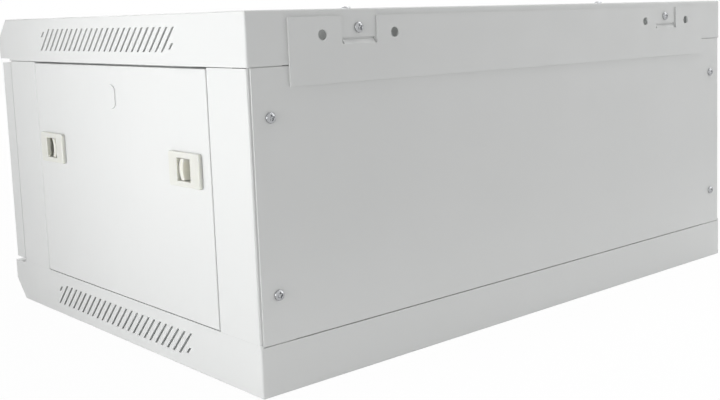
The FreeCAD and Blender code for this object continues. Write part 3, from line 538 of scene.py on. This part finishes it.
def tube(bore, radius, low, high, soft):
    """A turned tube between two levels, its four rims rounded by a quarter circle of radius soft."""
    rim_points = 6
    quarter = np.linspace(0.0, math.pi / 2.0, rim_points)
    across = soft * np.cos(quarter)
    along = soft * np.sin(quarter)
    outer = radius - soft
    inner = bore + soft
    rims = np.concatenate([
        np.stack([outer + across, high - soft + along], -1),
        np.stack([inner - across[::-1], high - soft + along[::-1]], -1),
        np.stack([inner - across, low + soft - along], -1),
        np.stack([outer + across[::-1], low + soft - along[::-1]], -1),
    ])
    return lathe(np.concatenate([rims, rims[:1]]))


# rows that carry a shape's own axes to the cabinet's, by the direction its Z axis takes
LAID = {
    "+Z": [[1, 0, 0], [0, 1, 0], [0, 0, 1]],
    "+Y": [[1, 0, 0], [0, 0, -1], [0, 1, 0]],
    "+X": [[0, 1, 0], [0, 0, 1], [1, 0, 0]],
    "-X": [[0, 1, 0], [0, 0, -1], [-1, 0, 0]],
}


def stood(shape, origin, axis, spin=0.0):
    """Turns a shape round its own Z axis, lays that axis along another one, and moves it to its place."""
    points, faces = shape
    c = math.cos(spin)
    s = math.sin(spin)
    points = points @ np.array([[c, s, 0.0], [-s, c, 0.0], [0.0, 0.0, 1.0]])
    return points @ np.array(LAID[axis], float) + np.array(origin), faces


def joined(shapes):
    """Several shapes as one list of points and one of faces."""
    first = np.cumsum([0] + [len(points) for points, _ in shapes[:-1]])
    points = np.concatenate([points for points, _ in shapes])
    return points, np.concatenate([faces + start for (_, faces), start in zip(shapes, first)])


MERGE = 1e-7
SLIVER = 1e-8


def piece(name, shapes, body, slot, stands_for):
    """Puts the shapes, in millimetres, into one closed mesh that rides on a body and stands for a node."""
    points, faces = joined(shapes)
    mesh = bpy.data.meshes.new(name)
    mesh.from_pydata((points * MM).tolist(), [], faces.tolist())
    work = bmesh.new()
    work.from_mesh(mesh)
    bmesh.ops.remove_doubles(work, verts=work.verts, dist=MERGE)
    bmesh.ops.dissolve_degenerate(work, edges=work.edges, dist=SLIVER)
    bmesh.ops.recalc_face_normals(work, faces=work.faces)
    work.to_mesh(mesh)
    work.free()
    mesh.set_sharp_from_angle(angle=math.radians(SMOOTH_TO))
    mesh.polygons.foreach_set("use_smooth", np.ones(len(mesh.polygons), bool))
    made = bpy.data.objects.new(name, mesh)
    scene.collection.objects.link(made)
    mesh.materials.append(FINISHES[slot])
    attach(made, body)
    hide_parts(stands_for)


def span(name, axis):
    """Lowest and highest level of a node along an axis, in millimetres."""
    return [corner[axis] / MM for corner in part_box(name)]


# small screws, each with its cross turned another way
LONG_SCREW = pan_screw(SCREW_HEAD_R, SCREW_HEAD, SCREW_R, SCREW_LONG, SCREW_PITCH)
SHORT_SCREW = pan_screw(SCREW_HEAD_R, SCREW_HEAD, SCREW_R, 2 * SHEET - END_PLAY, SCREW_PITCH)
spins = iter(np.linspace(0.2, 7.9, 10))
shapes = [stood(LONG_SCREW, (x, REAR, z), "+Y", next(spins)) for x, z in BACK_SCREWS]
piece("back_panel_screw_set", shapes, "cabinet", "steel", "back_panel_screws")
shapes = [stood(LONG_SCREW, (x, REAR, z), "+Y", next(spins)) for x, z in HOOK_SCREWS]
piece("wall_rail_screw_set", shapes, "cabinet", "steel", "wall_rail_screws")
shapes = [stood(LONG_SCREW, (x, y, HEIGHT), "+Z", next(spins)) for x, y in COVER_SCREWS]
piece("roof_cover_screw_set", shapes, "cabinet", "steel", "roof_cover_screws")
shapes = [stood(SHORT_SCREW, (x, y, 2 * SHEET), "+Z", next(spins)) for x, y in COVER_SCREWS]
piece("base_cover_screw_set", shapes, "cabinet", "steel", "base_cover_screws")

# clamping bolts: the head lies on the inside of the rail, the nut on the outside of the bar, and the level
# also serves as the turn of the cross
CLAMP_BOLT = pan_screw(CLAMP_HEAD_R, CLAMP_HEAD, BOLT_R, CLAMP_LONG, BOLT_PITCH)
CLAMP_NUT = hex_nut(CLAMP_NUT_FLAT, BOLT_BORE, NUT_HIGH)
for side, sign, inward, outward in (("right", 1, "-X", "+X"), ("left", -1, "+X", "-X")):
    shapes = []
    for level in CLAMP_LEVELS:
        shapes.append(stood(CLAMP_BOLT, (sign * CLAMP_HEAD_X, CLAMP_Y, level), inward, CROSS_TURN + level))
        shapes.append(stood(CLAMP_NUT, (sign * CLAMP_NUT_X, CLAMP_Y, level), outward))
    piece(f"rack_bolt_set_{side}", shapes, f"{side}_rack_rail", "steel", f"rack_bolts_{side}")

# earth stud with washer and nut
foot = profile([(0.0, END_PLAY), (2.6, END_PLAY), (BOLT_R, 0.4)])
shank = thread(BOLT_R, 1.0, 20.4, BOLT_PITCH)
tip = profile([(2.5, 21.0), (2.1, EARTH_TOP), (0.0, EARTH_TOP)])
washer = lathe([
    (EARTH_WASHER_BORE, 0.0),
    (6.8, 0.0),
    (EARTH_WASHER_R, 0.2),
    (EARTH_WASHER_R, 1.4),
    (6.8, EARTH_WASHER),
    (EARTH_WASHER_BORE, EARTH_WASHER),
    (EARTH_WASHER_BORE, 0.0),
])
shapes = [
    stood(turned(*stacked(foot, shank, tip)), (*EARTH, 0.0), "+Z"),
    stood(washer, (*EARTH, SHEET), "+Z"),
    stood(hex_nut(EARTH_NUT_FLAT, BOLT_BORE, NUT_HIGH), (*EARTH, SHEET + EARTH_WASHER), "+Z"),
]
piece("earth_terminal", shapes, "cabinet", "brass", "earth_stud")

# lock barrel: a flange with a rounded rim on the door, a threaded barrel behind it, a bore for the plug
flange = profile([
    (LOCK_BORE, BORE_START),
    (LOCK_BORE, -2.2),
    (5.8, -LOCK_FLANGE),
    (9.3, -LOCK_FLANGE),
    (10.2, -2.3),
    (10.8, -1.7),
    (LOCK_FLANGE_R, -0.9),
    (LOCK_FLANGE_R, 0.0),
    (BARREL_R, 0.0),
])
barrel = thread(BARREL_R, 1.3, 25.4, BARREL_PITCH)
closing = profile([(7.4, BARREL_LONG), (LOCK_BORE, BARREL_LONG), (LOCK_BORE, BORE_START)])
lock_barrel = turned(*stacked(flange, barrel, closing))
shapes = [stood(lock_barrel, (LOCK[0], DOOR_FRONT, LOCK[1]), "+Y")]
piece("lock_body", shapes, "door", "nickel", "lock_barrel")
low, high = span("lock_nut", 1)
shapes = [stood(hex_nut(LOCK_NUT_FLAT, LOCK_NUT_BORE, high - low), (LOCK[0], low, LOCK[1]), "+Y")]
piece("lock_ring_nut", shapes, "door", "steel", "lock_nut")
low, high = span("cam_screw", 1)
shapes = [stood(hex_head(CAM_SCREW_FLAT, high - low), (LOCK[0], low, LOCK[1]), "+Y")]
piece("cam_hex_screw", shapes, "lock", "steel", "cam_screw")

# hinge: nylon washer on the lower pin, steel sleeve round the upper one
low, high = span("hinge_washer", 2)
shapes = [stood(tube(BOLT_BORE, WASHER_R, low, high, TUBE_RIM), (*HINGE, 0.0), "+Z")]
piece("lower_hinge_washer", shapes, "cabinet", "nylon", "hinge_washer")
low, high = span("hinge_sleeve", 2)
shapes = [stood(tube(BOLT_BORE, SLEEVE_R, low, high, TUBE_RIM), (*HINGE, 0.0), "+Z")]
piece("upper_hinge_sleeve", shapes, "door", "steel", "hinge_sleeve")


# edges of the solids that show

WELD = 1e-6
FLAT_WITHIN = 0.2
SHARP_FROM = 40.0


def soften(thing, width):
    """Joins the node's loose triangles, clears the lines inside flat faces and breaks the sharp edges."""
    weld = thing.modifiers.new("weld", "WELD")
    weld.merge_threshold = WELD
    flat = thing.modifiers.new("flat faces", "DECIMATE")
    flat.decimate_type = "DISSOLVE"
    flat.angle_limit = math.radians(FLAT_WITHIN)
    edge = thing.modifiers.new("broken edges", "BEVEL")
    edge.width = width * MM
    edge.segments = 2
    edge.limit_method = "ANGLE"
    edge.angle_limit = math.radians(SHARP_FROM)
    edge.use_clamp_overlap = True


for row in subparts:
    thing = nodes[row["node"]]
    if not thing.hide_render:
        soften(thing, EDGE_BREAK[row["material_slot"]])


# floor and room

FLOOR_HALF = 8.0
FLOOR_DROP = 0.0003
FLOOR_TONE = (0.86, 0.86, 0.86, 1.0)
FLOOR_WHITE_SHARE = 0.965
WHITE = (1.0, 1.0, 1.0, 1.0)
AMBIENT = 0.40


def looked_at(tree):
    """One where the camera, a gloss or a glass looks at the surface, zero where it only gives light."""
    path = node(tree, "LightPath").outputs
    seen = maths(tree, "MAXIMUM", path["Is Camera Ray"], path["Is Glossy Ray"])
    return maths(tree, "MAXIMUM", seen, path["Is Transmission Ray"])


def blended(tree, share, first, second):
    """A mix of two shaders; share is that of the second."""
    made = node(tree, "MixShader", Fac=share)
    tree.links.new(first, made.inputs[1])
    tree.links.new(second, made.inputs[2])
    return made.outputs["Shader"]


def pale_floor():
    """Pale floor: plain diffuse for the light, and nearly white, with the shadow, where it is looked at."""
    made, tree, shader = finish("floor", Base_Color=FLOOR_TONE, Roughness=0.9)
    share = maths(tree, "MULTIPLY", looked_at(tree), FLOOR_WHITE_SHARE)
    white = node(tree, "Emission", Strength=1.0).outputs["Emission"]
    surface = blended(tree, share, shader.outputs["BSDF"], white)
    tree.links.new(surface, tree.nodes["Material Output"].inputs["Surface"])
    return made


corners = np.array([[-1, -1, 0], [1, -1, 0], [1, 1, 0], [-1, 1, 0]]) * FLOOR_HALF
floor_mesh = bpy.data.meshes.new("floor")
floor_mesh.from_pydata((corners - [0.0, 0.0, FLOOR_DROP]).tolist(), [], [[0, 1, 2, 3]])
floor = bpy.data.objects.new("floor", floor_mesh)
scene.collection.objects.link(floor)
floor_mesh.materials.append(pale_floor())

world = bpy.data.worlds.new("studio")
scene.world = world
world.use_nodes = True
tree = world.node_tree
tree.nodes.clear()
room = node(tree, "Background", Color=WHITE, Strength=AMBIENT).outputs["Background"]
white = node(tree, "Background", Color=WHITE, Strength=1.0).outputs["Background"]
surface = blended(tree, looked_at(tree), room, white)
tree.links.new(surface, node(tree, "OutputWorld").inputs["Surface"])


# lamps

def facing(direction):
    """Euler angles that turn -Z to the direction."""
    x, y, z = direction / np.linalg.norm(direction)
    return (math.acos(-z), 0.0, math.atan2(-x, y))


def softbox(name, place, target, size, power, beam=180.0):
    """A lamp, size wide and high, that faces its target; beam is the full angle of its grid in degrees."""
    lamp = bpy.data.lights.new(name, "AREA")
    lamp.shape = "RECTANGLE"
    lamp.size, lamp.size_y = size
    lamp.energy = power
    lamp.spread = math.radians(beam)
    made = bpy.data.objects.new(name, lamp)
    scene.collection.objects.link(made)
    made.location = place
    made.rotation_euler = facing(np.array(target) - np.array(place))
    made.visible_camera = False
    made.visible_transmission = False
    return made


softbox(
    "corner_key",
    place=(1.1, 0.30, 0.27),
    target=(0.3, 0.15, 0.20),
    size=(0.4, 0.4),
    power=3.10,
)
softbox(
    "side_key",
    place=(1.0, -0.163, 0.348),
    target=(0.3, 0.171, 0.30),
    size=(0.5, 0.5),
    power=0.53,
    beam=70.0,
)
softbox(
    "rear_fill",
    place=(-1.5, 1.5, 0.6),
    target=(-0.2, 0.22, 0.14),
    size=(1.2, 1.2),
    power=6.7,
)
softbox(
    "low_strip",
    place=(0.0, 0.45, 0.16),
    target=(0.0, 0.364, 0.002),
    size=(0.9, 0.1),
    power=0.085,
    beam=100.0,
)
softbox(
    "top_light",
    place=(-0.50, 0.22, 1.15),
    target=(-0.2, 0.1, 0.28),
    size=(0.7, 0.7),
    power=6.0,
)
softbox(
    "front_fill",
    place=(-1.26, -2.88, 1.33),
    target=(0.0, -0.22, 0.14),
    size=(2.16, 2.16),
    power=35.6,
)
inside_fill = softbox(
    "inside_fill",
    place=(0.0, 0.0, 0.10),
    target=(0.0, 0.001, 0.28),
    size=(0.36, 0.36),
    power=0.55,
)
inside_fill.visible_glossy = False


# camera, fitted to the photograph: focal length and centre in pixels, place in millimetres

PHOTO_WIDTH = 720.0
PHOTO_HEIGHT = 400.0
FOCAL = 1053.70
CENTRE = (464.09, 137.78)
SENSOR = 36.0
NEAR_CLIP = 0.01
CAMERA_PLACE = np.array([704.21, 853.55, 273.77])
CAMERA_RIGHT = np.array([-0.71469, 0.69891, -0.02741])
CAMERA_DOWN = np.array([0.10145, 0.06481, -0.99273])
CAMERA_AHEAD = np.array([-0.69205, -0.71227, -0.11722])

lens = bpy.data.cameras.new("camera")
lens.sensor_fit = "HORIZONTAL"
lens.sensor_width = SENSOR
lens.lens = FOCAL / PHOTO_WIDTH * SENSOR
lens.shift_x = (PHOTO_WIDTH / 2 - CENTRE[0]) / PHOTO_WIDTH
lens.shift_y = (CENTRE[1] - PHOTO_HEIGHT / 2) / PHOTO_WIDTH
lens.clip_start = NEAR_CLIP
camera = bpy.data.objects.new("camera", lens)
scene.collection.objects.link(camera)
view = np.eye(4)
view[:3, 0] = CAMERA_RIGHT
view[:3, 1] = -CAMERA_DOWN
view[:3, 2] = -CAMERA_AHEAD
view[:3, 3] = CAMERA_PLACE * MM
camera.matrix_world = Matrix(view.tolist())
scene.camera = camera
scene.view_settings.view_transform = "Standard"
